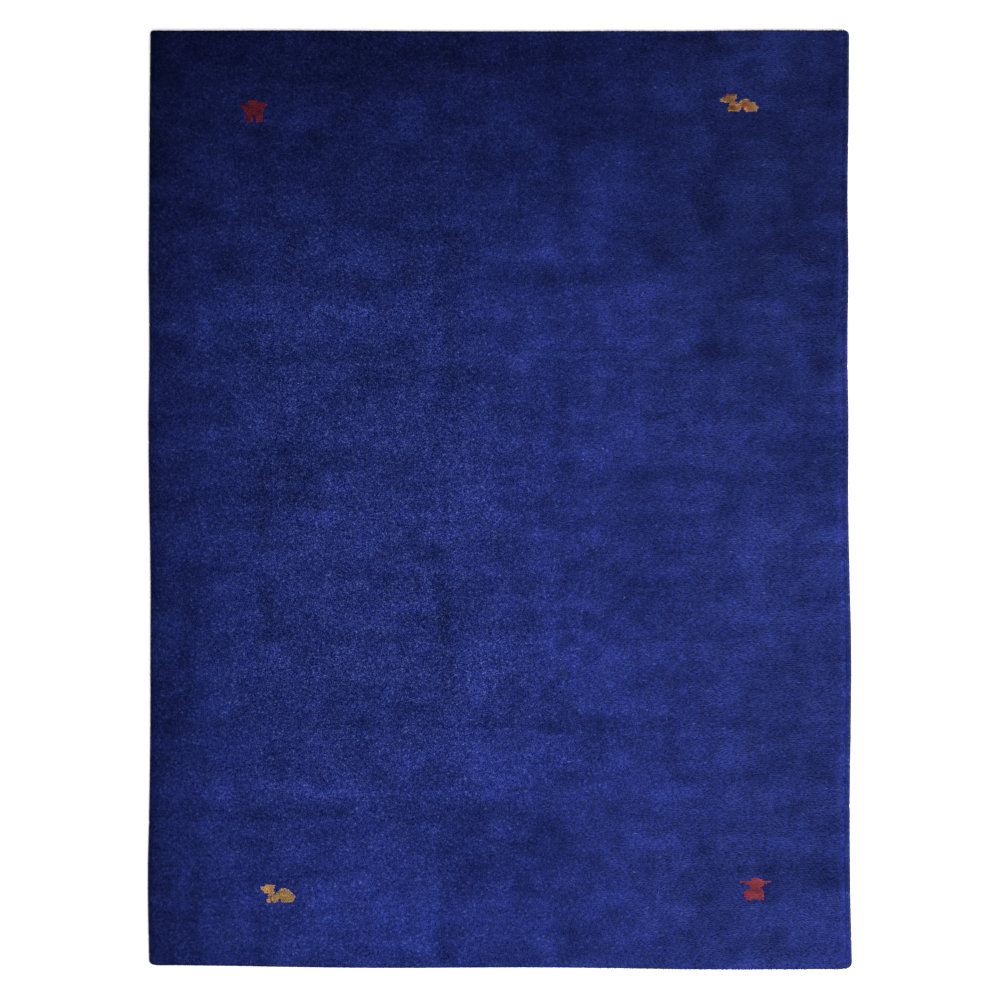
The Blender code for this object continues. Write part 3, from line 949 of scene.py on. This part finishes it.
def mark_group(name, standing, combed):
    """A group with one kind of marks where the pile stands and another where it is combed."""
    group = bpy.data.node_groups.new(name, "ShaderNodeTree")
    for socket, way, kind in (("Place", "INPUT", "Vector"), ("Combed", "INPUT", "Float"),
                              ("Mark", "OUTPUT", "Float")):
        group.interface.new_socket(name=socket, in_out=way, socket_type="NodeSocket" + kind)
    tree = Tree(group)
    taken = tree.node("NodeGroupInput").outputs
    given = tree.node("NodeGroupOutput").inputs
    first, second = (tree.marks(taken["Place"], *kind) for kind in (standing, combed))
    tree.feed(given["Mark"], tree.between(taken["Combed"], first, second))


def knotted_back(tree, place, dyed_and_shaded, fibre):
    """The back of the knots: small bumps in rows, with dark wefts between the rows."""
    parts = tree.node("ShaderNodeSeparateXYZ", ((0, place),)).outputs
    across = tree.math("ABSOLUTE", tree.math("SINE", tree.times(parts[0], math.pi * 2 / BACK_KNOT)))
    along = tree.math("ABSOLUTE", tree.math("SINE", tree.times(parts[1], math.pi / BACK_KNOT)))
    knots = tree.times(tree.math("POWER", across, 0.5), tree.math("POWER", along, 0.5))
    shown = tree.ramp(along, 0.15, 0.6, 0.35, 1.0)
    return tree.scaled(dyed_and_shaded, shown), tree.add(knots, tree.times(fibre, 0.1)), BACK_RELIEF


def make_wool(name, deep, bright, tip, dye_and_shade_share=1.0, foot=0.58, flecks=0.4, weave=False,
              plain_shade=None):
    """Wool from a deep to a bright tone, worn paler at some tips.

    Dye and shade share is how much it shows of the uneven dyeing and painted shade, foot how
    bright a tuft's foot is beside its tip, as painted shade, flecks how strong the plies are.
    Weave puts the back's knots on it. Wool that has no tufts of its own has a plain shade.
    """
    deep, bright, tip = dye(deep), dye(bright), dye(tip)
    material = bpy.data.materials.new(name)
    material.use_nodes = True
    tree = Tree(material.node_tree)
    shader = material.node_tree.nodes["Principled BSDF"]
    place = tree.node("ShaderNodeTexCoord").outputs["Object"]
    combed = tree.attribute("combed")
    plies, fibre = (tree.node("ShaderNodeGroup", (("Place", place), ("Combed", combed)),
                              node_tree=bpy.data.node_groups[group]).outputs["Mark"] for group in MARKS)
    fleck = tree.times(tree.times(plies, tree.attribute("lively")), flecks)
    if plain_shade is None:
        shade = tree.attribute("yarn_shade")
        # Painted shade: darker from a tuft's tips down to its foot, and in a cord's grooves
        painted_foot_shade = tree.math("MULTIPLY_ADD", tree.attribute("painted_shade_mask"), 1.0 - foot, foot)
    else:
        shade = tree.add(tree.marks(place, *CROWDED_FEET), plain_shade)
        painted_foot_shade = 1.0
    shade = tree.add(tree.add(shade, fleck), tree.times(fibre, 0.1))
    shade = tree.math("MAXIMUM", shade, 0.0)
    colour = tree.tone(shade, deep, bright, clamp=False)
    colour = tree.tone(tree.ramp(shade, 0.45, 1.3, 0.0, 0.38), colour, tip)
    # Uneven dyeing together with painted shade, sheen and light, from the dye value
    strength = tree.math("POWER", 2.0, tree.times(tree.attribute("dye"), dye_and_shade_share))
    dyed_and_shaded = tree.scaled(colour, tree.times(strength, painted_foot_shade))
    height, relief = fibre, FIBRE_RELIEF
    if weave:
        dyed_and_shaded, height, relief = knotted_back(tree, place, dyed_and_shaded, fibre)
    bump = tree.node("ShaderNodeBump", (("Strength", 0.35), ("Distance", relief), ("Height", height)))
    dull = tree.math("MULTIPLY_ADD", fibre, 0.04, 0.88)
    for socket, value in (("Base Color", dyed_and_shaded), ("Normal", bump.outputs[0]), ("Roughness", dull),
                          ("Specular IOR Level", 0.03), ("Sheen Weight", 0.01),
                          ("Sheen Roughness", 0.5), ("Sheen Tint", bright)):
        tree.feed(shader.inputs[socket], value)
    return material


def build_materials():
    """Every wool of the rug by its plain name, and the motifs' wools by their charts' letters."""
    for name, (standing, combed) in MARKS.items():
        mark_group(name, standing, combed)
    deep, bright, tip = (0, 8, 64), (50, 62, 131), (130, 144, 184)
    made = {
        "blue": make_wool("blue_pile", deep, bright, tip),
        "feet": make_wool("blue_pile_feet", deep, bright, tip, plain_shade=0.3),
        "back": make_wool("knotted_back", (22, 34, 104), (48, 58, 132), tip, dye_and_shade_share=0.4,
                          weave=True, plain_shade=0.5),
        "overcast": make_wool("overcast_wool", (2, 8, 56), (46, 57, 124), tip, dye_and_shade_share=0.9, foot=0.5),
    }
    knots = {
        "O": ("orange_knots", (106, 72, 34), (218, 164, 92), (230, 206, 152)),
        "T": ("tan_knots", (98, 74, 42), (208, 168, 104), (228, 210, 170)),
        "P": ("pale_knots", (120, 90, 74), (204, 172, 142), (224, 204, 184)),
        "B": ("brown_gold_knots", (78, 52, 32), (208, 148, 90), (224, 192, 152)),
        "R": ("rust_knots", (80, 42, 30), (192, 112, 66), (206, 150, 120)),
        "D": ("dark_red_knots", (44, 10, 18), (144, 46, 56), (176, 104, 112)),
        "M": ("madder_red_knots", (66, 22, 32), (182, 78, 84), (212, 142, 142)),
    }
    for letter, (name, *tones) in knots.items():
        made[letter] = make_wool(name, *tones, dye_and_shade_share=0.1, flecks=0.36, foot=0.85)
    return made


# Studio


def build_floor():
    """A plain pale floor just under the rug."""
    paper = bpy.data.materials.new("pale_floor")
    paper.use_nodes = True
    sockets = paper.node_tree.nodes["Principled BSDF"].inputs
    sockets["Base Color"].default_value = (FLOOR_GREY, FLOOR_GREY, FLOOR_GREY, 1)
    sockets["Roughness"].default_value = 0.9
    half = FLOOR_SIZE / 2
    corners = [(x * half, y * half, -FLOOR_DEPTH) for x, y in ((-1, -1), (1, -1), (1, 1), (-1, 1))]
    floor = mesh_piece("floor", corners, [(0, 1, 2, 3)], [paper])


def build_light():
    """A pale surround, soft light from overhead and a little from the right."""
    scene = bpy.context.scene
    world = bpy.data.worlds.new("studio")
    world.use_nodes = True
    surround = world.node_tree.nodes["Background"].inputs
    surround["Color"].default_value = (1.0, 1.0, 1.0, 1)
    surround["Strength"].default_value = SURROUND
    scene.world = world
    for name, (place, width, power) in LAMPS.items():
        lamp = bpy.data.lights.new(name, "AREA")
        lamp.shape = "SQUARE"
        lamp.size = width
        lamp.energy = power
        light = bpy.data.objects.new(name, lamp)
        light.location = place
        light.rotation_mode = "QUATERNION"
        light.rotation_quaternion = Vector(place).to_track_quat("Z", "Y")
        scene.collection.objects.link(light)
    scene.view_settings.view_transform = "Standard"


def build_camera():
    """Straight above the rug, framed as in the photo."""
    data = bpy.data.cameras.new("camera")
    data.lens = LENS
    data.sensor_width = SENSOR
    data.clip_end = 100.0
    camera = bpy.data.objects.new("camera", data)
    distance = PHOTO_WIDTH * LENS / SENSOR
    camera.location = (*PHOTO_CENTRE, PILE_TOP + distance)
    bpy.context.scene.collection.objects.link(camera)
    bpy.context.scene.camera = camera


def main():
    build_camera()
    build_floor()
    build_light()
    wools = build_materials()
    ground = build_ground(wools["feet"], wools["back"])
    tufts = build_field_pile(wools["blue"])
    tufts.append(build_rim_pile(wools["blue"]))
    tufts += [build_motif(motif, wools) for motif in MOTIFS]
    cords = [build_cord("overcast_left", -1, wools["overcast"]),
             build_cord("overcast_right", 1, wools["overcast"])]
    for piece in [ground, *tufts]:
        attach(piece, "root")
    for piece in cords:
        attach(piece, "root")
    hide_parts("pile_field")
    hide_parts("selvedge_left")
    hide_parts("selvedge_right")


main()
